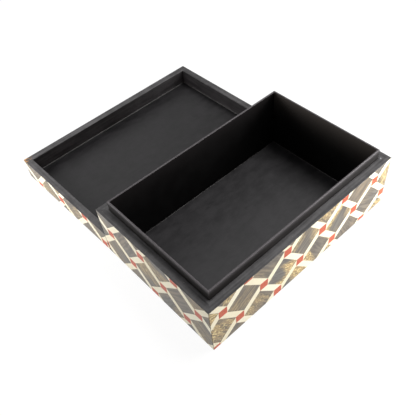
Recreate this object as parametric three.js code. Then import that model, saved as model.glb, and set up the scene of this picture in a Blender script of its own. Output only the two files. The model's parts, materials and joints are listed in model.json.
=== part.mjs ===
// An inlaid wooden box with a loose, lift-off lid.
//
// The box is four mitred wall boards around a thin base board, with four thin liner boards inside
// them. The liner stands up past the top of the walls as a collar, and the strip of wall left
// outside it is the ledge that the lid's rim rests on. The lid is four mitred boards under a top
// board. Box and lid are faced with panels of wood, bone and red inlay, and the box's underside
// is covered with felt.
//
// Units are millimetres and +Z is up. The origin is the centre of the box's underside, and X runs
// along its long side. The lid is built closed on the box, then turned over as one group about a
// level line beside the box's back, so that it lies upside down on the table at rest.

import * as THREE from 'three';

// Outer sizes, shared by the box and the lid.
const LENGTH = 254;
const WIDTH = 164;
const BOX_HEIGHT = 66; // underside to ledge
const LID_HEIGHT = 26.5; // rim to top face

// Thicknesses.
const INLAY = 2; // inlaid facing
const GLUE_LINE = 0.3; // gap left between neighbouring pieces
const FELT = 0.5;
const BASE_BOARD = 1.8;
const COLLAR_BOARD = 2.2;
const LID_WALL = 8; // facing, glue line and wall board
const LID_TOP = 7.5; // facing, glue line and top board

// The collar and the ledge around it.
const LEDGE = 9.6; // outer face of the box to the collar
const COLLAR_RISE = 11.5; // collar above the ledge
const COLLAR_ROUND = 0.9; // rounding along the collar's top
const ROUND_STEPS = 3;

// Where the lid lies, and how it closes.
const CLOSED_GAP = 0.3; // between the closed lid's rim and the ledge
const LID_SKEW = 0.0166; // how far the resting lid is out of square with the box, in radians
const REST_GAP = 0.5; // between the resting lid and the box, at the left end

// Worked out from the sizes above.
const FLOOR_TOP = FELT + GLUE_LINE + BASE_BOARD;
const AXIS_SKEW = LID_SKEW / 2;
const AXIS_Y = (WIDTH + REST_GAP + LENGTH * Math.sin(AXIS_SKEW)) / 2;
const AXIS_Z = (BOX_HEIGHT + CLOSED_GAP + LID_HEIGHT) / 2;

const blackPaint = new THREE.MeshStandardMaterial({ color: 0x2f3033, roughness: 0.6, metalness: 0 });
const feltCloth = new THREE.MeshStandardMaterial({ color: 0x1d1d1f, roughness: 1, metalness: 0 });
const inlayFacing = new THREE.MeshStandardMaterial({ color: 0xa39a83, roughness: 0.45, metalness: 0 });

const SIDES = [
  { side: 'front', turn: 0, length: LENGTH, distance: WIDTH / 2 },
  { side: 'right', turn: Math.PI / 2, length: WIDTH, distance: LENGTH / 2 },
  { side: 'back', turn: Math.PI, length: LENGTH, distance: WIDTH / 2 },
  { side: 'left', turn: -Math.PI / 2, length: WIDTH, distance: LENGTH / 2 },
];

// A board's plain section, between two depths behind the outer face and two heights.
function plainSection(outer, inner, bottom, top) {
  const section = new THREE.Shape();
  section.moveTo(outer, bottom);
  section.lineTo(inner, bottom);
  section.lineTo(inner, top);
  section.lineTo(outer, top);
  section.closePath();
  return section;
}

// The same section with its two top edges rounded.
function roundToppedSection(outer, inner, bottom, top, radius) {
  const section = new THREE.Shape();
  section.moveTo(outer, bottom);
  section.lineTo(inner, bottom);
  section.lineTo(inner, top - radius);
  section.absarc(inner - radius, top - radius, radius, 0, Math.PI / 2, false);
  section.lineTo(outer + radius, top);
  section.absarc(outer + radius, top - radius, radius, Math.PI / 2, Math.PI, false);
  section.closePath();
  return section;
}

// A straight board with mitred ends. Its outer face is at y = 0 and faces -Y; its section is
// drawn across it, and each point of the section is set in from the ends by its own depth.
function mitredBoard(section, length) {
  const geometry = new THREE.ExtrudeGeometry(section, {
    depth: 1,
    bevelEnabled: false,
    curveSegments: ROUND_STEPS,
  });
  const points = geometry.getAttribute('position');
  for (let i = 0; i < points.count; i += 1) {
    const depth = points.getX(i);
    const height = points.getY(i);
    const end = points.getZ(i) > 0.5 ? 1 : -1;
    points.setXYZ(i, end * (length / 2 - depth - GLUE_LINE / 2), depth, height);
  }
  return geometry;
}

// Four mitred boards of one section around the outer size of the box.
function addFrame(parent, name, section, material) {
  for (const { side, turn, length, distance } of SIDES) {
    const board = new THREE.Mesh(mitredBoard(section, length), material);
    board.name = `${name}_${side}`;
    board.rotation.z = turn;
    board.position.set(Math.sin(turn) * distance, -Math.cos(turn) * distance, 0);
    parent.add(board);
  }
}

// A flat rectangular sheet, set in all round from the outer size by a margin.
function addSheet(parent, name, margin, bottom, thickness, material) {
  const geometry = new THREE.BoxGeometry(LENGTH - 2 * margin, WIDTH - 2 * margin, thickness);
  const sheet = new THREE.Mesh(geometry, material);
  sheet.name = name;
  sheet.position.z = bottom + thickness / 2;
  parent.add(sheet);
}

function boxWalls(box) {
  const section = plainSection(INLAY + GLUE_LINE, LEDGE - GLUE_LINE, 0, BOX_HEIGHT);
  addFrame(box, 'wall', section, blackPaint);
}

function boxInlay(box) {
  addFrame(box, 'inlay', plainSection(0, INLAY, 0, BOX_HEIGHT), inlayFacing);
}

// The liner boards stand on the base board and rise past the walls as the collar.
function collar(box) {
  const bottom = FLOOR_TOP + GLUE_LINE;
  const top = BOX_HEIGHT + COLLAR_RISE;
  const section = roundToppedSection(LEDGE, LEDGE + COLLAR_BOARD, bottom, top, COLLAR_ROUND);
  addFrame(box, 'collar', section, blackPaint);
}

// The base board and its felt are let into the walls, so felt and walls stand level.
function baseAndFelt(box) {
  addSheet(box, 'base_felt', LEDGE, 0, FELT, feltCloth);
  addSheet(box, 'base_board', LEDGE, FELT + GLUE_LINE, BASE_BOARD, blackPaint);
}

// Heights in the lid are measured up from its rim.
function lidWalls(lid) {
  const top = LID_HEIGHT - LID_TOP - GLUE_LINE;
  addFrame(lid, 'lid_wall', plainSection(INLAY + GLUE_LINE, LID_WALL, 0, top), blackPaint);
}

function lidTopBoard(lid) {
  const thickness = LID_TOP - INLAY - GLUE_LINE;
  addSheet(lid, 'lid_top_board', INLAY + GLUE_LINE, LID_HEIGHT - LID_TOP, thickness, blackPaint);
}

// The top facing covers the whole lid, edges of the side facings included.
function lidInlay(lid) {
  const sideTop = LID_HEIGHT - INLAY - GLUE_LINE;
  addFrame(lid, 'lid_inlay', plainSection(0, INLAY, 0, sideTop), inlayFacing);
  addSheet(lid, 'lid_inlay_top', 0, LID_HEIGHT - INLAY, INLAY, inlayFacing);
}

function boxBody() {
  const box = new THREE.Group();
  baseAndFelt(box);
  boxWalls(box);
  boxInlay(box);
  collar(box);
  return box;
}

// The lid in its closed place, its heights measured from the line that it turns over about.
function closedLid() {
  const lid = new THREE.Group();
  lidWalls(lid);
  lidTopBoard(lid);
  lidInlay(lid);
  lid.position.set(0, -AXIS_Y, BOX_HEIGHT + CLOSED_GAP - AXIS_Z);
  return lid;
}

// The lid turned over, lying on its top face beside the box.
function restingLid() {
  const turned = new THREE.Group();
  const axis = new THREE.Vector3(Math.cos(AXIS_SKEW), Math.sin(AXIS_SKEW), 0);
  turned.setRotationFromAxisAngle(axis, Math.PI);
  turned.position.set(0, AXIS_Y, AXIS_Z);
  turned.add(closedLid());
  return turned;
}

const inlaidBox = new THREE.Group();
inlaidBox.add(boxBody());
inlaidBox.add(restingLid());

export default inlaidBox;
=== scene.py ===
"""An inlaid wooden box and its loose lid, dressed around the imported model.

The box and the lid are black painted boards, faced outside with tiles of wood, bone and red
resin. Every facing is laid out as the inlayer lays it: small red squares on a square grid, bone
strips between them, and a wood tile in each opening. Lengths are in metres; MM turns
millimetres into them.
"""

import json
import logging
import math
import random
from dataclasses import dataclass
from enum import Enum
from typing import Iterator

import bmesh
import bpy
from mathutils import Matrix, Vector


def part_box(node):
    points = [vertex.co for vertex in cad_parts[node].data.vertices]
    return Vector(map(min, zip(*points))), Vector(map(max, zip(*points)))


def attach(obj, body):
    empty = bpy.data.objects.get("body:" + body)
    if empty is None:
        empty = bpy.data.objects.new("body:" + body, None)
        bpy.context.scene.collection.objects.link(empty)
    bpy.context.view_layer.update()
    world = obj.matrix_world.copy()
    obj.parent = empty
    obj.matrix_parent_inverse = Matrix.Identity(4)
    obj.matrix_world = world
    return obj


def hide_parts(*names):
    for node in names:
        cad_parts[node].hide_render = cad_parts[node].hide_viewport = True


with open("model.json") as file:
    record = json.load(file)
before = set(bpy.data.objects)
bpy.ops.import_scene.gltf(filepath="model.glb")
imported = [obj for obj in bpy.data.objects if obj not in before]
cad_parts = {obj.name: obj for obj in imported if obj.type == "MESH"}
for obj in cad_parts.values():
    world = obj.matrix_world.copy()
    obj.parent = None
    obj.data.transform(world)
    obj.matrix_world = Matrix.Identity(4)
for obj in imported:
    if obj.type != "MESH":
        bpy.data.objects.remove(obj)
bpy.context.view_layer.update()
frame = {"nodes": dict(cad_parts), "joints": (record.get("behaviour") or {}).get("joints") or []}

MM = 0.001
SAME_PLACE = 0.01 * MM
LOG = logging.getLogger("inlaid_box")

Point = tuple[float, float]
Spot = tuple[float, float, float]
Section = tuple[Point, ...]
Rounding = tuple[tuple[int, float], ...]
Mesh = bmesh.types.BMesh
Node = bpy.types.Node
Socket = bpy.types.NodeSocket
Tree = bpy.types.NodeTree


# ---------------------------------------------------------------- shared tools


def linear(hex_code: str) -> tuple[float, float, float, float]:
    """Turns an sRGB hex colour into the linear colour that a shader takes.

    Args:
        hex_code: Six hex digits after a hash, such as "#8c8169".

    Returns:
        Linear red, green, blue and an alpha of one.
    """
    parts = [int(hex_code[i : i + 2], 16) / 255 for i in (1, 3, 5)]
    curve = [c / 12.92 if c <= 0.04045 else ((c + 0.055) / 1.055) ** 2.4 for c in parts]
    return (curve[0], curve[1], curve[2], 1.0)


def add_node(tree: Tree, kind: str, settings: dict) -> Node:
    """Adds a node, sets its properties and sockets, and makes its links.

    Args:
        tree: The node tree that takes the node.
        kind: The node's type, without the leading "ShaderNode".
        settings: Property names, or socket names or numbers, and their values in order. An
            output socket is linked, and a node is linked by the first output that it has in use.

    Returns:
        The new node.
    """
    node = tree.nodes.new("ShaderNode" + kind)
    for key, value in settings.items():
        if isinstance(value, Node):
            value = next(socket for socket in value.outputs if socket.enabled)
        if isinstance(key, str) and key not in node.inputs:
            setattr(node, key, value)
        elif isinstance(value, Socket):
            tree.links.new(value, node.inputs[key])
        else:
            node.inputs[key].default_value = value
    return node


def soften(mesh: Mesh, edges: list[bmesh.types.BMEdge], radius: float, steps: int = 4) -> None:
    """Rounds some edges of a mesh.

    Args:
        mesh: The mesh.
        edges: The edges to round.
        radius: How far the rounding reaches from each edge.
        steps: Number of flats across it.
    """
    bmesh.ops.bevel(
        mesh,
        geom=edges,
        offset=radius,
        offset_type="OFFSET",
        segments=steps,
        profile=0.5,
        affect="EDGES",
        material=-1,
        clamp_overlap=False,
    )


# ---------------------------------------------------------------- finishes


class Finish:
    """A surface finish that makes its material once and then hands out the same one."""

    name: str

    def material(self) -> bpy.types.Material:
        """Returns the finish's material, made the first time that it is asked for."""
        known = bpy.data.materials.get(self.name)
        if known:
            return known
        made = bpy.data.materials.new(self.name)
        made.use_nodes = True
        made.node_tree.nodes.clear()
        shader = self.shade(made.node_tree)
        add_node(made.node_tree, "OutputMaterial", {"Surface": shader})
        return made

    def shade(self, tree: Tree) -> Node:
        """Builds the finish's nodes and returns its shader."""
        raise NotImplementedError


@dataclass(frozen=True)
class Chip:
    """A spot where paint has come off.

    Attributes:
        place: Centre of the spot, where the piece lies at rest.
        radius: How far from the centre the flakes reach.
        bare: Colour of what shows under the paint.
    """

    place: Spot
    radius: float
    bare: str


@dataclass(frozen=True)
class BlackPaint(Finish):
    """Black emulsion brushed on fibreboard: a soft, low gloss with fine brush marks.

    The colour is nearly black. What the eye sees as dark grey on the level faces is the
    reflected room, so the upright inner walls stay black. Darker copies of it inside the box and
    the lid are painted shade, and its greying towards the top of some walls is painted light.

    Attributes:
        name: The material's name.
        stroke: Brush marks per metre along X, Y and Z.
        rubbed_from: Height at which the paint starts to grey, as handling wear and painted
            light.
        rubbed_to: Height at which the paint is wholly grey. Nothing is greyed where it
            is nought.
        rubbed: Colour of the greyest paint, partly handling wear and partly painted light.
        chips: Places where the paint has flaked.
        deep: Colour of fresh paint.
        worn: Colour in its cloudy patches.
        roughness: Least and greatest roughness.
        gloss: Strength of the reflection, a half being plain paint.
        patches: Cloudy patches per metre, each about 17 mm across.
        flakes: Flakes per metre in a chip, each about 1.5 mm across.
    """

    name: str
    stroke: Spot
    rubbed_from: float = 0.0
    rubbed_to: float = 0.0
    rubbed: str = "#47474b"
    chips: tuple[Chip, ...] = ()
    deep: str = "#292728"
    worn: str = "#514f50"
    roughness: tuple[float, float] = (0.42, 0.56)
    gloss: float = 0.5
    patches: float = 60.0
    flakes: float = 650.0

    def shade(self, tree: Tree) -> Node:
        """Builds brush marks, cloudy wear, chips, and top greying as wear and painted light."""
        place = add_node(tree, "TexCoord", {}).outputs["Object"]
        along = add_node(tree, "Mapping", {"Vector": place, "Scale": self.stroke})
        marks = add_node(tree, "TexNoise", {"Vector": along, "Scale": 1.0, "Detail": 3.0})
        cloud = add_node(
            tree, "TexNoise", {"Vector": place, "Scale": self.patches, "Detail": 8.0, "Roughness": 0.75}
        )
        uneven = add_node(tree, "Math", {"operation": "ADD", 0: cloud, 1: marks})
        # Clouds and brush marks together choose between fresh paint and worn.
        wear = add_node(tree, "MapRange", {"Value": uneven, "From Min": 0.8, "From Max": 1.2})
        colour = add_node(
            tree, "Mix", {"data_type": "RGBA", 0: wear, 6: linear(self.deep), 7: linear(self.worn)}
        )
        # Painted light and handling wear grey the paint towards the top.
        if self.rubbed_to:
            colour = self.rub(tree, place, colour)
        for chip in self.chips:
            colour = self.flake(tree, place, colour, chip)
        # The ridges of the brush marks are a little flatter than the furrows.
        low, high = self.roughness
        polish = add_node(
            tree,
            "MapRange",
            {"Value": marks, "From Min": 0.3, "From Max": 0.7, "To Min": low, "To Max": high},
        )
        relief = add_node(tree, "Bump", {"Height": marks, "Strength": 0.5, "Distance": 0.15 * MM})
        return add_node(
            tree,
            "BsdfPrincipled",
            {
                "Base Color": colour,
                "Roughness": polish,
                "IOR": 1.5,
                "Specular IOR Level": self.gloss,
                "Normal": relief,
            },
        )

    def rub(self, tree: Tree, place: Socket, paint: Node) -> Node:
        """Greys the paint towards the top, as handling wear and as painted light on the upper edges.

        Args:
            tree: The material's node tree.
            place: Object coordinates.
            paint: The colour of the fresh paint.

        Returns:
            The colour with the greying on it.
        """
        level = add_node(tree, "SeparateXYZ", {0: place}).outputs["Z"]
        rise = add_node(
            tree, "MapRange", {"Value": level, "From Min": self.rubbed_from, "From Max": self.rubbed_to}
        )
        # A fourth power keeps the grey near the very top, where hands reach and the painted light lies.
        steep = add_node(tree, "Math", {"operation": "POWER", 0: rise, 1: 4.0})
        return add_node(
            tree, "Mix", {"data_type": "RGBA", 0: steep, 6: paint, 7: linear(self.rubbed)}
        )

    def flake(self, tree: Tree, place: Socket, paint: Node, chip: Chip) -> Node:
        """Lays one spot of flaked paint over a colour.

        Args:
            tree: The material's node tree.
            place: Object coordinates.
            paint: The colour of the sound paint.
            chip: The spot.

        Returns:
            The colour with the spot in it.
        """
        # The flakes lie thick in the middle of the spot and thin out towards its edge.
        reach = add_node(tree, "VectorMath", {"operation": "DISTANCE", 0: place, 1: chip.place})
        near = add_node(
            tree, "MapRange", {"Value": reach, "From Max": chip.radius, "To Min": 0.42, "To Max": 0.0}
        )
        flecks = add_node(tree, "TexNoise", {"Vector": place, "Scale": self.flakes, "Detail": 2.0})
        total = add_node(tree, "Math", {"operation": "ADD", 0: near, 1: flecks})
        edge = add_node(tree, "MapRange", {"Value": total, "From Min": 0.76, "From Max": 0.82})
        return add_node(tree, "Mix", {"data_type": "RGBA", 0: edge, 6: paint, 7: linear(chip.bare)})


@dataclass(frozen=True)
class PolishedBone(Finish):
    """Camel bone sawn thin, sanded flush and waxed: cream, faintly streaked, softly glossy.

    Attributes:
        name: The material's name.
        light: Colour of the palest bone.
        deep: Colour of the yellowest bone.
        pore: Colour of the pores.
        streaks: Streaks per metre along and across the grain, 11 mm long and 1.4 mm wide.
        pores: Pores per metre, 2.5 mm long and 0.7 mm wide, which is coarse so that they show.
    """

    name: str = "polished_bone"
    light: str = "#f4ecd3"
    deep: str = "#e8d9b2"
    pore: str = "#b0946a"
    streaks: Spot = (90.0, 700.0, 1.0)
    pores: Spot = (400.0, 1500.0, 1.0)

    def shade(self, tree: Tree) -> Node:
        """Builds a tone for each tile, slow streaks and short dark pores."""
        grain = add_node(tree, "UVMap", {"uv_map": "grain"})
        trait = add_node(tree, "Attribute", {"attribute_name": "trait"}).outputs["Vector"]
        own = add_node(tree, "SeparateXYZ", {0: trait})
        drawn = add_node(tree, "Mapping", {"Vector": grain, "Scale": self.streaks})
        streak = add_node(tree, "TexNoise", {"Vector": drawn, "Scale": 1.0, "Detail": 3.0})
        yellowed = add_node(tree, "Math", {"operation": "MULTIPLY", 0: own, 1: streak})
        tone = add_node(
            tree, "Mix", {"data_type": "RGBA", 0: yellowed, 6: linear(self.light), 7: linear(self.deep)}
        )
        pitted = add_node(tree, "Mapping", {"Vector": grain, "Scale": self.pores})
        dots = add_node(tree, "TexNoise", {"Vector": pitted, "Scale": 1.0, "Detail": 1.0})
        open_pores = add_node(
            tree, "MapRange", {"Value": dots, "From Min": 0.66, "From Max": 0.8, "To Max": 0.5}
        )
        colour = add_node(
            tree, "Mix", {"data_type": "RGBA", 0: open_pores, 6: tone, 7: linear(self.pore)}
        )
        relief = add_node(tree, "Bump", {"Height": streak, "Strength": 0.15, "Distance": 0.1 * MM})
        return add_node(
            tree,
            "BsdfPrincipled",
            {"Base Color": colour, "Roughness": 0.38, "IOR": 1.54, "Normal": relief},
        )


@dataclass(frozen=True)
class InlaidWood(Finish):
    """Grey-brown hardwood sawn across a knotty grain and sanded flush.

    Every tile has its own tone, from smoky grey to gold, with dark streaks along its grain and
    pale flecks where the fibres catch the light.

    Attributes:
        name: The material's name.
        smoke: Colour of the greyest tiles.
        brown: Colour of the brownest tiles.
        gold: Colour of the golden bands.
        vein: Colour of the dark streaks.
        fleck: Colour of the flecks.
        bands: Bands per metre along and across the grain, 45 mm long and 26 mm wide.
        veins: Streaks per metre, 22 mm long and 2.6 mm wide.
        flecks: Flecks per metre, 3.8 mm long and 1.6 mm wide, which is coarse so that they show.
    """

    name: str = "inlaid_wood"
    smoke: str = "#65625c"
    brown: str = "#87765e"
    gold: str = "#c09f66"
    vein: str = "#433b32"
    fleck: str = "#f2dd9e"
    bands: Spot = (22.0, 38.0, 1.0)
    veins: Spot = (45.0, 380.0, 1.0)
    flecks: Spot = (260.0, 620.0, 1.0)

    def shade(self, tree: Tree) -> Node:
        """Builds the tile's tone, its golden bands, its dark grain and its pale flecks."""
        trait = add_node(tree, "Attribute", {"attribute_name": "trait"}).outputs["Vector"]
        own = add_node(tree, "SeparateXYZ", {0: trait})
        broad = self.figure(tree, self.bands, 1.0, 0.2)
        lines = self.figure(tree, self.veins, 6.0, 0.1)
        short = self.figure(tree, self.flecks, 2.0, 0.0)
        blend = add_node(tree, "MapRange", {"Value": broad, "From Min": 0.38, "From Max": 0.62})
        lean = add_node(tree, "Math", {"operation": "ADD", 0: own, 1: blend})
        half = add_node(tree, "Math", {"operation": "MULTIPLY", 0: lean, 1: 0.5})
        ground = add_node(
            tree, "Mix", {"data_type": "RGBA", 0: half, 6: linear(self.smoke), 7: linear(self.brown)}
        )
        # A tile's second trait says how golden its broad bands can be.
        rich = add_node(
            tree, "MapRange", {"Value": own.outputs["Y"], "From Min": 0.15, "From Max": 0.95}
        )
        band = add_node(
            tree, "MapRange", {"Value": broad, "From Min": 0.44, "From Max": 0.6, "To Max": rich}
        )
        warmed = add_node(
            tree, "Mix", {"data_type": "RGBA", 0: band, 6: ground, 7: linear(self.gold)}
        )
        dark = add_node(
            tree, "MapRange", {"Value": lines, "From Min": 0.42, "From Max": 0.62, "To Max": 0.72}
        )
        veined = add_node(
            tree, "Mix", {"data_type": "RGBA", 0: dark, 6: warmed, 7: linear(self.vein)}
        )
        # The pale flecks show only in the golden bands.
        sparks = add_node(tree, "MapRange", {"Value": short, "From Min": 0.52, "From Max": 0.6})
        lit = add_node(tree, "Math", {"operation": "MULTIPLY", 0: sparks, 1: band})
        colour = add_node(
            tree, "Mix", {"data_type": "RGBA", 0: lit, 6: veined, 7: linear(self.fleck)}
        )
        relief = add_node(tree, "Bump", {"Height": lines, "Strength": 0.4, "Distance": 0.12 * MM})
        return add_node(
            tree,
            "BsdfPrincipled",
            {"Base Color": colour, "Roughness": 0.42, "IOR": 1.5, "Normal": relief},
        )

    def figure(self, tree: Tree, scale: Spot, detail: float, twist: float) -> Node:
        """Draws one layer of the wood's figure, long along the grain and short across it.

        Args:
            tree: The material's node tree.
            scale: Marks per metre along and across the grain.
            detail: How many finer layers the figure has.
            twist: How far its lines wander.

        Returns:
            The figure's strength.
        """
        grain = add_node(tree, "UVMap", {"uv_map": "grain"})
        drawn = add_node(tree, "Mapping", {"Vector": grain, "Scale": scale})
        return add_node(
            tree, "TexNoise", {"Vector": drawn, "Scale": 1.0, "Detail": detail, "Distortion": twist}
        )


@dataclass(frozen=True)
class RedResin(Finish):
    """Red resin cast with ground filler and sanded flush: brick red with pale grains.

    Attributes:
        name: The material's name.
        body: Colour of the clean resin.
        dark: Colour where the filler is thin.
        grain: Colour of the filler's grains.
        clouds: Clouds per metre, each about 4 mm across.
        grains: Grains per metre, each about 0.8 mm across, which is coarse so that they show.
    """

    name: str = "red_resin"
    body: str = "#c84b20"
    dark: str = "#aa3a18"
    grain: str = "#dd8350"
    clouds: float = 260.0
    grains: float = 1300.0

    def shade(self, tree: Tree) -> Node:
        """Builds cloudy red with pale grains of filler."""
        place = add_node(tree, "TexCoord", {}).outputs["Object"]
        cloud = add_node(tree, "TexNoise", {"Vector": place, "Scale": self.clouds, "Detail": 3.0})
        base = add_node(
            tree, "Mix", {"data_type": "RGBA", 0: cloud, 6: linear(self.dark), 7: linear(self.body)}
        )
        dots = add_node(tree, "TexNoise", {"Vector": place, "Scale": self.grains, "Detail": 1.0})
        filler = add_node(
            tree, "MapRange", {"Value": dots, "From Min": 0.52, "From Max": 0.7, "To Max": 0.6}
        )
        colour = add_node(
            tree, "Mix", {"data_type": "RGBA", 0: filler, 6: base, 7: linear(self.grain)}
        )
        return add_node(
            tree, "BsdfPrincipled", {"Base Color": colour, "Roughness": 0.42, "IOR": 1.5}
        )


@dataclass(frozen=True)
class JointResin(Finish):
    """Dark filled resin wiped into the joints between the tiles, matt and slightly sunken.

    Attributes:
        name: The material's name.
        body: The paler of its two browns.
        dark: The darker of its two browns.
        clouds: Clouds per metre, each about 2 mm across.
    """

    name: str = "joint_resin"
    body: str = "#4b4338"
    dark: str = "#2f2a24"
    clouds: float = 500.0

    def shade(self, tree: Tree) -> Node:
        """Builds an uneven dark brown."""
        place = add_node(tree, "TexCoord", {}).outputs["Object"]
        cloud = add_node(tree, "TexNoise", {"Vector": place, "Scale": self.clouds, "Detail": 3.0})
        colour = add_node(
            tree, "Mix", {"data_type": "RGBA", 0: cloud, 6: linear(self.dark), 7: linear(self.body)}
        )
        return add_node(
            tree, "BsdfPrincipled", {"Base Color": colour, "Roughness": 0.6, "IOR": 1.5}
        )


@dataclass(frozen=True)
class WoolFelt(Finish):
    """Black pressed wool felt: matt, with a short tangled nap.

    Attributes:
        name: The material's name.
        body: Colour of the felt's depth.
        nap: Colour of the fibres that stand up.
        fibres: Fibres per metre, drawn 1 mm coarse so that they show.
    """

    name: str = "wool_felt"
    body: str = "#17171a"
    nap: str = "#2c2c30"
    fibres: float = 1000.0

    def shade(self, tree: Tree) -> Node:
        """Builds tangled fibres."""
        place = add_node(tree, "TexCoord", {}).outputs["Object"]
        fibre = add_node(
            tree, "TexNoise", {"Vector": place, "Scale": self.fibres, "Detail": 4.0, "Roughness": 0.7}
        )
        colour = add_node(
            tree, "Mix", {"data_type": "RGBA", 0: fibre, 6: linear(self.body), 7: linear(self.nap)}
        )
        relief = add_node(tree, "Bump", {"Height": fibre, "Strength": 0.8, "Distance": 0.3 * MM})
        return add_node(
            tree,
            "BsdfPrincipled",
            {"Base Color": colour, "Roughness": 0.95, "Sheen Weight": 0.3, "Normal": relief},
        )


@dataclass(frozen=True)
class StudioFloor(Finish):
    """Seamless white paper: white to the camera, with the object's soft shadow kept.

    Attributes:
        name: The material's name.
        paper: Colour of the paper where light falls on it.
        white: Strength of the plain white that is mixed in.
        keep: How much of the lit paper, and so of the shadow, is seen.
    """

    name: str = "studio_floor"
    paper: str = "#dcdcdc"
    white: float = 1.08
    keep: float = 0.15

    def shade(self, tree: Tree) -> Node:
        """Mixes the lit paper with plain white for the rays that only look at it."""
        lit = add_node(tree, "BsdfDiffuse", {"Color": linear(self.paper)})
        white = add_node(tree, "Emission", {"Strength": self.white})
        rays = add_node(tree, "LightPath", {})
        eye, gloss = rays.outputs["Is Camera Ray"], rays.outputs["Is Glossy Ray"]
        seen = add_node(tree, "Math", {"operation": "MAXIMUM", 0: eye, 1: gloss})
        share = add_node(tree, "Math", {"operation": "MULTIPLY", 0: seen, 1: 1.0 - self.keep})
        return add_node(tree, "MixShader", {0: share, 1: lit, 2: white})


# ---------------------------------------------------------------- pieces


@dataclass(frozen=True)
class Part:
    """What a piece is in the model.

    Attributes:
        body: The body that it moves with.
        slot: The record's slot for its material; not used.
        node: The node that it stands for.
    """

    body: str
    slot: str
    node: str


def make_piece(name: str, mesh: Mesh, place: Matrix, finish: Finish) -> bpy.types.Object:
    """Turns a bmesh into a piece at its place, with one finish.

    Args:
        name: The piece's name.
        mesh: The mesh in its own local frame. It is freed.
        place: Carries the local frame to where the piece lies at rest.
        finish: The piece's finish.

    Returns:
        The new object, at the origin and unturned.
    """
    bmesh.ops.transform(mesh, matrix=place, verts=mesh.verts)
    bmesh.ops.recalc_face_normals(mesh, faces=mesh.faces)
    data = bpy.data.meshes.new(name)
    mesh.to_mesh(data)
    mesh.free()
    data.materials.append(finish.material())
    piece = bpy.data.objects.new(name, data)
    bpy.context.scene.collection.objects.link(piece)
    LOG.info("%s: %d faces of %s", name, len(data.polygons), finish.name)
    return piece


def fit_piece(name: str, mesh: Mesh, place: Matrix, finish: Finish, part: Part) -> None:
    """Makes a piece and fits it to the model.

    Args:
        name: The piece's name.
        mesh: The mesh in its own local frame. It is freed.
        place: Carries the local frame to where the piece lies at rest.
        finish: The piece's finish.
        part: What the piece is in the model.
    """
    piece = make_piece(name, mesh, place, finish)
    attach(piece, part.body)
    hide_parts(part.node)


def dress(node: str, finish: Finish) -> None:
    """Gives a node of the model its finish.

    Args:
        node: The node's name.
        finish: Its finish.
    """
    for slot in frame["nodes"][node].material_slots:
        slot.material = finish.material()
    LOG.info("%s: %s", node, finish.name)


# ---------------------------------------------------------------- sizes and sides


@dataclass(frozen=True)
class Sizes:
    """The object's outer sizes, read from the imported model, and the lid's two places.

    Attributes:
        length: The long side.
        width: The short side.
        height: The box, from its underside to the ledge.
        ledge: The strip of wall outside the collar.
        collar_top: Height of the collar's top.
        floor: Height of the floor inside the box.
        lid_height: The lid, from rim to top.
        lid_roof: From the lid's top face to the roof of its hollow.
        lid_base: Height of the closed lid's rim.
        turn_over: Carries the closed lid to where it lies at rest.
    """

    length: float
    width: float
    height: float
    ledge: float
    collar_top: float
    floor: float
    lid_height: float
    lid_roof: float
    lid_base: float
    turn_over: Matrix

    @classmethod
    def from_frame(cls) -> "Sizes":
        """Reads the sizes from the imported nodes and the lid's joint."""
        front_low, front_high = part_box("inlay_front")
        collar_low, collar_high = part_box("collar_front")
        joint = frame["joints"][0]
        pivot = Vector(joint["pos_m"])
        lid_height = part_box("lid_wall_front")[1].z
        return cls(
            length=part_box("inlay_right")[1].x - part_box("inlay_left")[0].x,
            width=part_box("inlay_back")[1].y - front_low.y,
            height=front_high.z,
            ledge=collar_low.y - front_low.y,
            collar_top=collar_high.z,
            floor=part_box("base_board")[1].z,
            lid_height=lid_height,
            lid_roof=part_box("lid_top_board")[1].z,
            lid_base=2 * pivot.z - lid_height,
            turn_over=Matrix.Translation(pivot)
            @ Matrix.Rotation(math.pi, 4, Vector(joint["axis"]))
            @ Matrix.Translation(-pivot),
        )

    @property
    def lid_top(self) -> float:
        """Height of the closed lid's top."""
        return self.lid_base + self.lid_height


class Side(Enum):
    """The four sides, counted anticlockwise from the front as seen from above."""

    FRONT = 0
    RIGHT = 1
    BACK = 2
    LEFT = 3

    @property
    def word(self) -> str:
        """The side's name in lower case, as the model's nodes end."""
        return self.name.lower()

    @property
    def is_long(self) -> bool:
        """Whether this is one of the two long sides."""
        return self in (Side.FRONT, Side.BACK)

    @property
    def kind(self) -> str:
        """The word for the side's length, as the paints are named."""
        return "long" if self.is_long else "short"

    def run(self, sizes: Sizes) -> float:
        """The side's length."""
        return sizes.length if self.is_long else sizes.width

    def place(self, sizes: Sizes) -> Matrix:
        """Gives the way from a side's own frame to the closed object's.

        In a side's own frame x runs from its left end as seen from outside, y goes inwards
        from the outer face, and z goes up from the underside.

        Args:
            sizes: The object's sizes.

        Returns:
            The matrix that carries the side's frame to the closed object's.
        """
        across = sizes.width if self.is_long else sizes.length
        shift = Matrix.Translation((-self.run(sizes) / 2, -across / 2, 0.0))
        return Matrix.Rotation(self.value * math.pi / 2, 4, "Z") @ shift


# ---------------------------------------------------------------- paints


def stroke_along(side: Side) -> Spot:
    """Gives brush marks along a side: 60 mm long and 2.4 mm wide."""
    return (16.0, 420.0, 420.0) if side.is_long else (420.0, 16.0, 420.0)


def ledge_paint(side: Side) -> BlackPaint:
    """The paint of a wall board's top, brushed along it and chipped at two corners."""
    return BlackPaint(
        f"black_paint_{side.kind}_wall",
        stroke_along(side),
        chips=(
            Chip((-129.7 * MM, 246.5 * MM, 26.5 * MM), 14.0 * MM, "#a5794a"),
            Chip((118.3 * MM, -74.6 * MM, 66.0 * MM), 2.2 * MM, "#9a9a9c"),
        ),
    )


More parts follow.
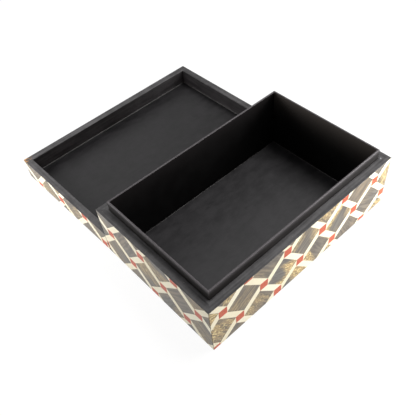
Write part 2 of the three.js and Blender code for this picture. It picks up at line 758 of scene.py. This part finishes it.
def collar_paint(side: Side) -> BlackPaint:
    """The paint of a collar board: darker than the ledge's as painted shade, and grey along its
    rounded top as painted highlight and handling wear.
    """
    return BlackPaint(
        f"black_paint_{side.kind}_collar",
        stroke_along(side),
        # Painted highlight and handling wear grey the rounded top; the darker colours are painted
        # shade.
        rubbed_from=68.0 * MM,
        rubbed_to=77.3 * MM,
        rubbed="#545052",
        deep="#141110",
        worn="#242120",
        roughness=(0.5, 0.62),
        gloss=0.25,
    )


def collar_coat(side: Side) -> BlackPaint:
    """The near-black coat inside a collar board, a darker copy of the paint as painted shade,
    and paler towards the top as painted light, most on the short walls.
    """
    return BlackPaint(
        f"black_paint_{side.kind}_inside",
        (60.0, 60.0, 60.0),
        # Painted light greys the walls' tops inside; the near-black colours are painted shade.
        rubbed_from=15.0 * MM,
        rubbed_to=77.5 * MM,
        rubbed="#191616" if side.is_long else "#544e4a",
        deep="#060505",
        worn="#0c0b0b",
        roughness=(0.6, 0.75),
        gloss=0.1,
    )


def lid_coat() -> BlackPaint:
    """The thinner coat on the inside of the lid's walls, darker than the rim's paint as painted
    shade.
    """
    return BlackPaint(
        # The darker colours are painted shade on the lid's inner walls.
        "black_paint_lid_inside", (16.0, 16.0, 420.0), deep="#222021", worn="#3a3738", gloss=0.35
    )


def seam_paint() -> BlackPaint:
    """The thin bead of paint left in a corner, a little greyer than what is round it as a painted
    highlight along the seam.
    """
    return BlackPaint(
        "black_paint_seam",
        (200.0, 200.0, 200.0),
        # The greyer colours paint a highlight along the seam.
        deep="#2a2827",
        worn="#454241",
        roughness=(0.4, 0.5),
    )


def floor_paint() -> BlackPaint:
    """The paint of the box's floor, rolled on and so cloudy, and flatter than the ledge's."""
    return BlackPaint(
        "black_paint_floor",
        (60.0, 160.0, 160.0),
        deep="#1e1c1e",
        worn="#2d2b2d",
        roughness=(0.46, 0.56),
    )


def roof_paint() -> BlackPaint:
    """The paint inside the lid, rolled on in a darker coat."""
    return BlackPaint(
        "black_paint_roof",
        (60.0, 160.0, 160.0),
        deep="#111011",
        worn="#201e20",
        roughness=(0.42, 0.54),
        gloss=0.4,
    )


# ---------------------------------------------------------------- boards and panels


@dataclass(frozen=True)
class Board:
    """A straight board with mitred ends.

    Attributes:
        run: Length of its outer face.
        section: Corners of its section, as depth behind the outer face and height.
        rounded: Number of each rounded corner in the section, and its radius.
    """

    run: float
    section: Section
    rounded: Rounding = ()

    def build(self) -> Mesh:
        """Draws the section, runs it along the board, mitres its ends and rounds its corners."""
        mesh = bmesh.new()
        drawn = [mesh.verts.new((0.0, depth, height)) for depth, height in self.section]
        end = mesh.faces.new(drawn)
        grown = bmesh.ops.extrude_face_region(mesh, geom=[end])["geom"]
        far = [part for part in grown if isinstance(part, bmesh.types.BMVert)]
        bmesh.ops.translate(mesh, verts=far, vec=(self.run, 0.0, 0.0))
        for vert in mesh.verts:
            vert.co.x += vert.co.y if vert.co.x < self.run / 2 else -vert.co.y
        for corner, radius in self.rounded:
            soften(mesh, self.long_edges(mesh, self.section[corner]), radius)
        return mesh

    def long_edges(self, mesh: Mesh, corner: Point) -> list[bmesh.types.BMEdge]:
        """Finds the lengthwise edges at one corner of the section.

        Args:
            mesh: The board.
            corner: The corner's depth and height.

        Returns:
            The edges.
        """
        target = Vector((0.0, corner[0], corner[1]))
        found = []
        for edge in mesh.edges:
            one, other = (vert.co for vert in edge.verts)
            middle = (one + other) / 2
            middle.x = 0.0
            if abs(one.x - other.x) > self.run / 2 and (middle - target).length < SAME_PLACE:
                found.append(edge)
        return found


@dataclass(frozen=True)
class Panel:
    """A flat rectangular board whose edges may be rounded all round one face.

    Attributes:
        half: Half its length and half its width.
        low: Height of its lower face.
        high: Height of its upper face.
        radius: Radius of the rounded edges.
        rounded_below: Whether they are round the lower face and not the upper one.
    """

    half: Point
    low: float
    high: float
    radius: float = 0.0
    rounded_below: bool = False

    def build(self) -> Mesh:
        """Sizes a block, sets it at its height and rounds the edges of one face."""
        mesh = bmesh.new()
        bmesh.ops.create_cube(mesh, size=2.0)
        depth = (self.high - self.low) / 2
        bmesh.ops.scale(mesh, verts=mesh.verts, vec=(*self.half, depth))
        bmesh.ops.translate(mesh, verts=mesh.verts, vec=(0.0, 0.0, self.low + depth))
        if self.radius:
            level = self.low if self.rounded_below else self.high
            rim = [
                edge
                for edge in mesh.edges
                if all(abs(vert.co.z - level) < SAME_PLACE for vert in edge.verts)
            ]
            soften(mesh, rim, self.radius)
        return mesh


# ---------------------------------------------------------------- inlay


class Tile(Enum):
    """The kinds of tile, with the record's slot for each."""

    WOOD = "inlay_wood"
    BONE = "inlay_bone"
    RED = "inlay_red"

    @property
    def finish(self) -> Finish:
        """The finish of this kind of tile."""
        return {Tile.WOOD: InlaidWood(), Tile.BONE: PolishedBone(), Tile.RED: RedResin()}[self]


class Corner(Enum):
    """The corners of a red square, as steps from its centre."""

    LOW_LEFT = (-1, -1)
    LOW_RIGHT = (1, -1)
    HIGH_RIGHT = (1, 1)
    HIGH_LEFT = (-1, 1)


@dataclass(frozen=True)
class Pattern:
    """The inlay of one side: red squares on a square grid, joined by bone strips.

    All tiles meet at the corners of the red squares, so those corners are all that it takes
    to draw them. Each red square is set by hand, a little off its true place, size and turn.

    Attributes:
        name: Makes this side's hand-set errors its own.
        start: Place of one red square's centre on the side.
        turn: How far the grid leans from true, in degrees.
        mirrored: Whether the grid is reversed left to right.
        pitch: Distance from one red square to the next.
        square: Side of a red square.
        slip: The largest error in a square's place.
        misfit: The largest error in a square's size, as a share of it.
        skew: The largest error in a square's turn, in degrees.
        gold: How golden the side's wood tiles are, one being usual.
    """

    name: str
    start: Point
    turn: float
    mirrored: bool = False
    pitch: float = 36.8 * MM
    square: float = 10.2 * MM
    slip: float = 0.3 * MM
    misfit: float = 0.04
    skew: float = 2.0
    gold: float = 1.0

    @property
    def steps(self) -> tuple[Vector, Vector]:
        """The two steps from a red square to its neighbours, one down and one to the right."""
        half = self.square / 2
        rise = math.sqrt(self.pitch**2 / 2 - half**2) - half
        lean = Matrix.Rotation(math.radians(self.turn), 2)
        return (
            lean @ Vector((rise, -rise - self.square)),
            lean @ Vector((rise + self.square, rise)),
        )

    def corner(self, down: int, across: int, which: Corner) -> Vector:
        """Gives the place of one corner of one red square.

        Args:
            down: Steps down the grid.
            across: Steps across the grid.
            which: The corner.

        Returns:
            Its place on the side, from the side's left end and the underside.
        """
        hand = random.Random(f"{self.name} {down} {across}")
        slip = Vector((hand.uniform(-1, 1), hand.uniform(-1, 1))) * self.slip
        size = self.square * (1 + hand.uniform(-self.misfit, self.misfit))
        turn = self.turn + hand.uniform(-self.skew, self.skew)
        step_down, step_across = self.steps
        centre = step_down * down + step_across * across + slip
        spot = centre + Matrix.Rotation(math.radians(turn), 2) @ Vector(which.value) * (size / 2)
        if self.mirrored:
            spot.x = -spot.x
        return spot + Vector(self.start)

    def outlines(self, kind: Tile, down: int, across: int) -> list[list[Vector]]:
        """Draws the tiles of one kind in one cell of the grid.

        Args:
            kind: The kind of tile.
            down: Steps down the grid.
            across: Steps across the grid.

        Returns:
            The corners of each tile, anticlockwise as seen from outside.
        """
        here, below = (down, across), (down + 1, across)
        beside, beyond = (down, across + 1), (down + 1, across + 1)
        low_left, low_right, high_right, high_left = Corner
        square = [(here, low_left), (here, low_right), (here, high_right), (here, high_left)]
        strip_below = [(below, high_left), (below, high_right), (here, low_right), (here, low_left)]
        strip_beside = [(here, low_right), (beside, low_left), (beside, high_left), (here, high_right)]
        opening = [(here, low_right), (below, high_right), (beyond, high_left), (beside, low_left)]
        drawn = {Tile.RED: [square], Tile.BONE: [strip_below, strip_beside], Tile.WOOD: [opening]}
        outlines = [[self.corner(*cell, which) for cell, which in tile] for tile in drawn[kind]]
        return [outline[::-1] for outline in outlines] if self.mirrored else outlines


@dataclass(frozen=True)
class Facing:
    """An inlaid facing: tiles of three kinds bedded in dark resin.

    Attributes:
        name: The facing's name, which its pieces' names start with.
        node: The node of the model that it stands for.
        body: The body that it moves with.
        pattern: Its inlay.
        run: Its length.
        low: Height of its lower edge on the side.
        high: Height of its upper edge on the side.
        place: Carries the side's frame to where the facing lies at rest.
        mitred: Whether the left and right, lower, and upper edges meet another facing.
        thickness: Depth of the resin bed's back.
        tile: Thickness of a tile.
        joint: Width of the joint between two tiles.
        sunken: Depth of the resin in the joints.
        edge: Rounding of the tiles' outer edges.
        shy: How far the tiles end before the facing's ends.
        least_sunk: Depth of the highest tile's face.
        most_sunk: What is added to it for the lowest one.
        sliver: Width under which a sawn-off tile is left out.
        lean: Angle of the grain in a tile to the side's length, in degrees either way.
        stray: How far the grain's angle varies, in degrees.
    """

    name: str
    node: str
    body: str
    pattern: Pattern
    run: float
    low: float
    high: float
    place: Matrix
    mitred: tuple[bool, bool, bool]
    thickness: float = 1.9 * MM
    tile: float = 1.2 * MM
    joint: float = 0.42 * MM
    sunken: float = 0.16 * MM
    edge: float = 0.14 * MM
    shy: float = 0.3 * MM
    least_sunk: float = 0.02 * MM
    most_sunk: float = 0.06 * MM
    sliver: float = 0.4 * MM
    lean: float = 45.0
    stray: float = 30.0

    def build(self) -> None:
        """Lays the resin bed and the tiles of each kind."""
        part = Part(self.body, "inlay_resin", self.node)
        fit_piece(f"{self.name}_resin", self.bed(), self.place, JointResin(), part)
        for kind in Tile:
            name = f"{self.name}_{kind.name.lower()}_tiles"
            part = Part(self.body, kind.value, self.node)
            fit_piece(name, self.tiles(kind), self.place, kind.finish, part)

    def mitre(self, mesh: Mesh) -> None:
        """Draws the mesh's inner corners in, at each edge that meets another facing.

        Args:
            mesh: Tiles or bed in the side's frame.
        """
        ends, lower, upper = self.mitred
        for vert in mesh.verts:
            depth = vert.co.y
            if ends:
                vert.co.x = min(max(vert.co.x, depth), self.run - depth)
            if lower:
                vert.co.z = max(vert.co.z, self.low + depth)
            if upper:
                vert.co.z = min(vert.co.z, self.high - depth)

    def bed(self) -> Mesh:
        """Makes the resin bed, its face sunken below the tiles."""
        mesh = bmesh.new()
        corners = ((0.0, self.low), (self.run, self.low), (self.run, self.high), (0.0, self.high))
        mesh.faces.new([mesh.verts.new((x, self.sunken, z)) for x, z in corners])
        bmesh.ops.solidify(mesh, geom=mesh.faces[:], thickness=self.thickness - self.sunken)
        self.mitre(mesh)
        return mesh

    def cells(self) -> Iterator[tuple[int, int]]:
        """Counts through the cells of the grid that can reach the facing."""
        # A tile can reach in from a cell and a half away.
        margin = self.pattern.pitch * 1.5
        reach = int((self.run + self.high) / self.pattern.pitch) + 3
        for down in range(-reach, reach):
            for across in range(-reach, reach):
                spot = self.pattern.corner(down, across, Corner.LOW_RIGHT)
                level = self.low - margin < spot.y < self.high + margin
                if level and -margin < spot.x < self.run + margin:
                    yield down, across

    def tiles(self, kind: Tile) -> Mesh:
        """Cuts and sets all the tiles of one kind.

        Args:
            kind: The kind of tile.

        Returns:
            The tiles in the side's frame, with "trait" and "grain" on them.
        """
        mesh = bmesh.new()
        trait = mesh.verts.layers.float_vector.new("trait")
        for cell in self.cells():
            for number, outline in enumerate(self.pattern.outlines(kind, *cell)):
                luck = random.Random(f"{self.pattern.name} {kind.name} {cell} {number}")
                own = Vector((luck.random(), luck.random() * self.pattern.gold, luck.random()))
                corners = [mesh.verts.new((spot.x, 0.0, spot.y)) for spot in outline]
                for corner in corners:
                    corner[trait] = own
                mesh.faces.new(corners)
        self.open_joints(mesh)
        self.trim(mesh)
        bmesh.ops.solidify(mesh, geom=mesh.faces[:], thickness=self.tile)
        self.sink(mesh)
        outer = [e for e in mesh.edges if max(v.co.y for v in e.verts) < self.tile / 2]
        soften(mesh, outer, self.edge, steps=2)
        self.mitre(mesh)
        self.lay_grain(mesh)
        return mesh

    def open_joints(self, mesh: Mesh) -> None:
        """Draws every tile in by half a joint."""
        rims = bmesh.ops.inset_individual(
            mesh, faces=mesh.faces[:], thickness=self.joint / 2, use_even_offset=True
        )
        bmesh.ops.delete(mesh, geom=rims["faces"], context="FACES")

    def trim(self, mesh: Mesh) -> None:
        """Saws the tiles off at the facing's edges, and drops what is left too thin."""
        saws = (
            ((self.shy, 0.0, 0.0), (-1.0, 0.0, 0.0)),
            ((self.run - self.shy, 0.0, 0.0), (1.0, 0.0, 0.0)),
            ((0.0, 0.0, self.low), (0.0, 0.0, -1.0)),
            ((0.0, 0.0, self.high), (0.0, 0.0, 1.0)),
        )
        for spot, outwards in saws:
            bmesh.ops.bisect_plane(
                mesh,
                geom=mesh.verts[:] + mesh.edges[:] + mesh.faces[:],
                plane_co=spot,
                plane_no=outwards,
                clear_outer=True,
            )
        thin = [f for f in mesh.faces if 2 * f.calc_area() / f.calc_perimeter() < self.sliver]
        bmesh.ops.delete(mesh, geom=thin, context="FACES")

    def sink(self, mesh: Mesh) -> None:
        """Sinks each tile by its own few hundredths of a millimetre."""
        trait = mesh.verts.layers.float_vector["trait"]
        for vert in mesh.verts:
            vert.co.y += self.least_sunk + self.most_sunk * vert[trait].z

    def lay_grain(self, mesh: Mesh) -> None:
        """Unwraps every tile along its own grain, which follows one of its edges roughly."""
        grain = mesh.loops.layers.uv.new("grain")
        trait = mesh.verts.layers.float_vector["trait"]
        for face in mesh.faces:
            for loop in face.loops:
                own = loop.vert[trait]
                lean = self.lean if own.z > 0.5 else -self.lean
                turn = math.radians(lean + self.stray * (own.x - 0.5))
                flat = Vector((loop.vert.co.x, loop.vert.co.z))
                loop[grain].uv = Matrix.Rotation(turn, 2) @ flat + Vector((own.x, own.y))


# ---------------------------------------------------------------- the box and the lid


@dataclass(frozen=True, kw_only=True)
class PaintedCase:
    """What the box and the lid share: painted boards and panels, faced with inlay.

    Attributes:
        sizes: The object's sizes.
        patterns: The inlay of each side.
        body: The body that its pieces move with.
        start: What the names of its pieces and nodes start with.
        facing: Room left for the inlaid facing.
        paint_lip: How far the paint of the ledge or the rim laps over the facing.
        lip_round: Rounding of that lip.
        coating: Thickness of the coat inside the walls.
        lining: Thickness of the panel laid inside.
        lining_round: Rounding of that panel's edges.
        gap: Play between that panel and the walls.
    """

    sizes: Sizes
    patterns: dict[Side, Pattern]
    body: str
    start: str
    facing: float = 2.0 * MM
    paint_lip: float = 0.35 * MM
    lip_round: float = 0.25 * MM
    coating: float = 0.15 * MM
    lining: float = 0.6 * MM
    lining_round: float = 0.54 * MM
    gap: float = 0.2 * MM

    def place(self, side: Side) -> Matrix:
        """Carries a side's frame to where the side is at rest."""
        return side.place(self.sizes)

    def half_size(self, margin: float) -> Point:
        """Half the length and half the width, less a margin all round."""
        return (self.sizes.length / 2 - margin, self.sizes.width / 2 - margin)

    def fit_board(
        self,
        side: Side,
        what: str,
        section: Section,
        finish: Finish,
        rounded: Rounding = (),
        board: str = "wall",
    ) -> None:
        """Makes one mitred board, or one strip of paint as long as it.

        Args:
            side: The side that it stands on.
            what: The end of its name.
            section: Corners of its section.
            finish: Its finish.
            rounded: Its rounded corners.
            board: The kind of board in the model that it stands for.
        """
        mesh = Board(side.run(self.sizes), section, rounded).build()
        part = Part(self.body, "black_paint", f"{self.start}{board}_{side.word}")
        fit_piece(f"{self.start}{side.word}_{what}", mesh, self.place(side), finish, part)

    def fit_panel(self, name: str, node: str, panel: Panel, place: Matrix, finish: Finish) -> None:
        """Makes one flat panel.

        Args:
            name: The panel's name.
            node: The node that it stands for.
            panel: The panel.
            place: Carries it to where it lies at rest.
            finish: Its finish.
        """
        part = Part(self.body, "black_paint", node)
        fit_piece(f"{name}_painted", panel.build(), place, finish, part)

    def fit_facing(self, side: Side, low: float, high: float, under_top: bool) -> None:
        """Lays the inlaid facing of one side.

        Args:
            side: The side.
            low: Height of its lower edge.
            high: Height of its upper edge.
            under_top: Whether its upper edge meets a facing on the top.
        """
        Facing(
            name=f"{self.start}{side.word}_facing",
            node=f"{self.start}inlay_{side.word}",
            body=self.body,
            pattern=self.patterns[side],
            run=side.run(self.sizes),
            low=low,
            high=high,
            place=self.place(side),
            mitred=(True, False, under_top),
        ).build()


@dataclass(frozen=True, kw_only=True)
class BoxBody(PaintedCase):
    """The open box: walls, collar, base, felt and facings.

    Attributes:
        ledge_round: Rounding of the ledge's inner edge.
        collar_board: Thickness of the collar's boards.
        collar_inner: Rounding of the collar's inner top edge.
        collar_outer: Rounding of the collar's outer top edge.
        bare_top: How far below the collar's top the coat inside it ends.
        bead: Width of the bead of paint at the collar's foot.
    """

    body: str = "box"
    start: str = ""
    ledge_round: float = 0.7 * MM
    collar_board: float = 1.8 * MM
    collar_inner: float = 0.6 * MM
    collar_outer: float = 0.8 * MM
    bare_top: float = 0.9 * MM
    bead: float = 0.5 * MM

    def build(self) -> None:
        """Builds the box's pieces."""
        for side in Side:
            self.wall(side)
            self.collar(side)
            self.coat(side)
            self.fit_facing(side, 0.0, self.sizes.height - self.paint_lip, under_top=False)
        self.base()

    def wall(self, side: Side) -> None:
        """Makes one wall board, its painted top lapping out over the facing."""
        ledge, top = self.sizes.ledge, self.sizes.height
        lip = top - self.paint_lip
        section = (
            (0.0, lip),
            (self.facing, lip),
            (self.facing, 0.0),
            (ledge, 0.0),
            (ledge, top),
            (0.0, top),
        )
        rounded = ((5, self.lip_round), (4, self.ledge_round))
        self.fit_board(side, "wall", section, ledge_paint(side), rounded)

    def collar(self, side: Side) -> None:
        """Makes one collar board, rounded along its top."""
        outer, inner = self.sizes.ledge, self.sizes.ledge + self.collar_board
        foot, top = self.sizes.floor, self.sizes.collar_top
        section = ((outer, foot), (inner, foot), (inner, top), (outer, top))
        rounded = ((2, self.collar_inner), (3, self.collar_outer))
        self.fit_board(side, "collar", section, collar_paint(side), rounded, "collar")

    def coat(self, side: Side) -> None:
        """Lays the near-black coat inside one collar board, as painted shade inside the box,
        and the bead at its foot.
        """
        outer = self.sizes.ledge + self.collar_board
        inner = outer + self.coating
        foot, top = self.sizes.floor, self.sizes.collar_top - self.bare_top
        coat = ((outer, foot), (inner, foot), (inner, top), (outer, top))
        bead = ((inner, foot), (inner + self.bead, foot), (inner, foot + self.bead))
        self.fit_board(side, "collar_coat", coat, collar_coat(side), board="collar")
        self.fit_board(side, "collar_bead", bead, seam_paint(), board="collar")

    def base(self) -> None:
        """Lays the base board, its thin lining and the felt under it."""
        level = self.sizes.floor - self.lining
        board = Panel(self.half_size(self.sizes.ledge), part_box("base_board")[0].z, level)
        inside = self.half_size(self.sizes.ledge + self.collar_board + self.gap)
        lining = Panel(inside, level, self.sizes.floor, radius=self.lining_round)
        for name, panel in (("base_board", board), ("base_lining", lining)):
            self.fit_panel(name, "base_board", panel, Matrix(), floor_paint())
        dress("base_felt", WoolFelt())


@dataclass(frozen=True, kw_only=True)
class Lid(PaintedCase):
    """The loose lid, built closed and turned over to where it lies.

    Attributes:
        top_pattern: The inlay of its top.
        wall_depth: The lid's wall, facing and board together.
        rim_round: Rounding of the rim's inner edge.
        bare_rim: How far inside the rim the coat starts.
        bead: Width of the bead of paint where a wall meets the roof.
    """

    top_pattern: Pattern
    body: str = "lid"
    start: str = "lid_"
    wall_depth: float = 8.0 * MM
    rim_round: float = 0.5 * MM
    bare_rim: float = 0.6 * MM
    bead: float = 0.7 * MM

    def build(self) -> None:
        """Builds the lid's pieces."""
        for side in Side:
            self.wall(side)
            self.coat(side)
            low = self.sizes.lid_base + self.paint_lip
            self.fit_facing(side, low, self.sizes.lid_top, under_top=True)
        self.top_facing()
        self.roof()

    def place(self, side: Side) -> Matrix:
        """Carries a side's frame to where the side lies at rest."""
        return self.sizes.turn_over @ side.place(self.sizes)

    @property
    def hollow(self) -> tuple[float, float]:
        """Heights of the closed lid's rim and of the roof above it."""
        return self.sizes.lid_base, self.sizes.lid_top - self.sizes.lid_roof

    def roof(self) -> None:
        """Lays the top board and the thin lining under it."""
        low = self.hollow[1]
        level = low + self.lining
        board = Panel(self.half_size(self.facing), level, self.sizes.lid_top - self.facing)
        inside = self.half_size(self.wall_depth + self.gap)
        lining = Panel(inside, low, level, radius=self.lining_round, rounded_below=True)
        for name, panel in (("lid_top_board", board), ("lid_lining", lining)):
            self.fit_panel(name, "lid_top_board", panel, self.sizes.turn_over, roof_paint())

    def wall(self, side: Side) -> None:
        """Makes one wall board, its painted rim lapping out over the facing."""
        rim, roof = self.hollow
        lip, top = rim + self.paint_lip, roof + self.lining
        section = (
            (0.0, rim),
            (self.wall_depth, rim),
            (self.wall_depth, top),
            (self.facing, top),
            (self.facing, lip),
            (0.0, lip),
        )
        rounded = ((0, self.lip_round), (1, self.rim_round))
        self.fit_board(side, "wall", section, ledge_paint(side), rounded)

    def coat(self, side: Side) -> None:
        """Lays the coat inside one wall, darker than the rim as painted shade, and the bead of
        paint where it meets the roof.
        """
        rim, roof = self.hollow
        start = rim + self.bare_rim
        outer, inner = self.wall_depth, self.wall_depth + self.coating
        coat = ((outer, start), (inner, start), (inner, roof), (outer, roof))
        bead = ((inner, roof), (inner + self.bead, roof), (inner, roof - self.bead))
        self.fit_board(side, "coat", coat, lid_coat())
        self.fit_board(side, "bead", bead, seam_paint())

    def top_facing(self) -> None:
        """Lays the inlaid facing of the lid's top, with its lower edge to the front."""
        corner = (-self.sizes.length / 2, -self.sizes.width / 2, self.sizes.lid_top)
        lie_flat = Matrix.Translation(corner) @ Matrix.Rotation(-math.pi / 2, 4, "X")
        Facing(
            name="lid_top_facing",
            node="lid_inlay_top",
            body=self.body,
            pattern=self.top_pattern,
            run=self.sizes.length,
            low=0.0,
            high=self.sizes.width,
            place=self.sizes.turn_over @ lie_flat,
            mitred=(True, True, True),
        ).build()


def side_patterns() -> dict[Side, Pattern]:
    """Lays out the grids of the four sides, which run on from the box to the lid."""
    return {
        Side.FRONT: Pattern("front", (97.5 * MM, 56.0 * MM), -2.5, gold=1.35),
        Side.RIGHT: Pattern("right", (6.0 * MM, 21.0 * MM), 0.8, mirrored=True),
        Side.BACK: Pattern("back", (14.0 * MM, 33.0 * MM), -1.2),
        Side.LEFT: Pattern(
            "left", (17.4 * MM, 42.3 * MM), -0.8, mirrored=True, pitch=36.4 * MM, gold=0.45
        ),
    }


def lid_patterns() -> dict[Side, Pattern]:
    """Lays out the lid's grids, which run on from the box except where they were laid anew."""
    left = Pattern(
        "lid left", (88.5 * MM, 80.3 * MM), -1.4, mirrored=True, pitch=36.4 * MM, gold=0.4
    )
    return side_patterns() | {Side.LEFT: left}


def top_pattern() -> Pattern:
    """Lays out the grid of the lid's top."""
    return Pattern("lid top", (26.0 * MM, 30.0 * MM), -1.5)


# ---------------------------------------------------------------- the studio


@dataclass(frozen=True)
class Lamp:
    """A square soft box.

    Attributes:
        name: The lamp's name.
        spot: Where it hangs.
        aim: What it points at.
        size: The side of its face.
        power: Its power in watts.
    """

    name: str
    spot: Spot
    aim: Spot
    size: float
    power: float

    def hang(self) -> None:
        """Hangs the lamp and points it."""
        data = bpy.data.lights.new(self.name, "AREA")
        data.size = self.size
        data.energy = self.power
        lamp = bpy.data.objects.new(self.name, data)
        towards = Vector(self.aim) - Vector(self.spot)
        lamp.rotation_euler = towards.to_track_quat("-Z", "Y").to_euler()
        lamp.location = self.spot
        bpy.context.scene.collection.objects.link(lamp)


@dataclass(frozen=True)
class Studio:
    """Floor, lights and camera.

    Attributes:
        lamps: A low one by the front's right end, a high one, a wide one behind and a low one at
            the lid's left. The low ones make the sides pale towards those two ends.
        room: Strength of the light from all round.
        floor_size: Side of the paper on the floor.
        floor_drop: How far the paper lies under the object.
        eye: Where the camera stands.
        heading: Which way the camera looks from above, in degrees anticlockwise from X.
        dip: How far it looks down, in degrees.
        roll: How far it is tilted to one side, in degrees.
        lens: Its focal length in millimetres.
        shift: How far the picture is moved across and up, as shares of its width.
    """

    lamps: tuple[Lamp, ...] = (
        Lamp("key_light", (0.3, -0.29, 0.13), (0.1, -0.08, 0.03), 0.2, 2.4),
        Lamp("high_light", (0.49, -0.06, 1.2), (0.0, 0.08, 0.04), 0.5, 9.2),
        Lamp("back_light", (0.25, 1.25, 1.0), (0.0, 0.08, 0.04), 1.2, 4.2),
        Lamp("left_light", (-0.33, 0.29, 0.14), (-0.127, 0.24, 0.0), 0.2, 1.1),
    )
    room: float = 0.27
    floor_size: float = 8.0
    floor_drop: float = 0.2 * MM
    eye: Spot = (-249.6 * MM, -260.9 * MM, 444.6 * MM)
    heading: float = 50.34
    dip: float = 49.82
    roll: float = -4.99
    lens: float = 45.20
    shift: Point = (-0.0383, 0.0194)

    def build(self) -> None:
        """Sets up the studio."""
        self.floor()
        self.room_light()
        for lamp in self.lamps:
            lamp.hang()
        self.camera()
        bpy.context.scene.view_settings.view_transform = "Standard"

    def floor(self) -> None:
        """Lays the white paper under the object."""
        mesh = bmesh.new()
        bmesh.ops.create_grid(mesh, x_segments=1, y_segments=1, size=self.floor_size / 2)
        below = Matrix.Translation((0.0, 0.0, -self.floor_drop))
        make_piece("floor", mesh, below, StudioFloor())

    def room_light(self) -> None:
        """Lights the scene evenly from all round, and shows white behind it."""
        world = bpy.data.worlds.new("room")
        world.use_nodes = True
        tree = world.node_tree
        tree.nodes.clear()
        rays = add_node(tree, "LightPath", {})
        glow = add_node(
            tree,
            "MapRange",
            {"Value": rays.outputs["Is Camera Ray"], "To Min": self.room, "To Max": 1.0},
        )
        light = add_node(tree, "Background", {"Color": linear("#ffffff"), "Strength": glow})
        add_node(tree, "OutputWorld", {"Surface": light})
        bpy.context.scene.world = world

    def camera(self) -> None:
        """Stands the camera above the box's near corner, tilted a little to one side."""
        data = bpy.data.cameras.new("camera")
        data.lens = self.lens
        data.shift_x, data.shift_y = self.shift
        data.clip_start = 0.01
        data.clip_end = 20.0
        camera = bpy.data.objects.new("camera", data)
        turned = Matrix.Rotation(math.radians(self.heading - 90), 4, "Z")
        tipped = Matrix.Rotation(math.radians(90 - self.dip), 4, "X")
        rolled = Matrix.Rotation(math.radians(self.roll), 4, "Z")
        camera.matrix_world = Matrix.Translation(self.eye) @ turned @ tipped @ rolled
        bpy.context.scene.collection.objects.link(camera)
        bpy.context.scene.camera = camera


def main() -> None:
    """Builds the studio, the box and the lid."""
    logging.basicConfig(level=logging.INFO, format="%(name)s: %(message)s")
    Studio().build()
    sizes = Sizes.from_frame()
    BoxBody(sizes=sizes, patterns=side_patterns()).build()
    Lid(sizes=sizes, patterns=lid_patterns(), top_pattern=top_pattern()).build()


if __name__ == "__main__":
    main()
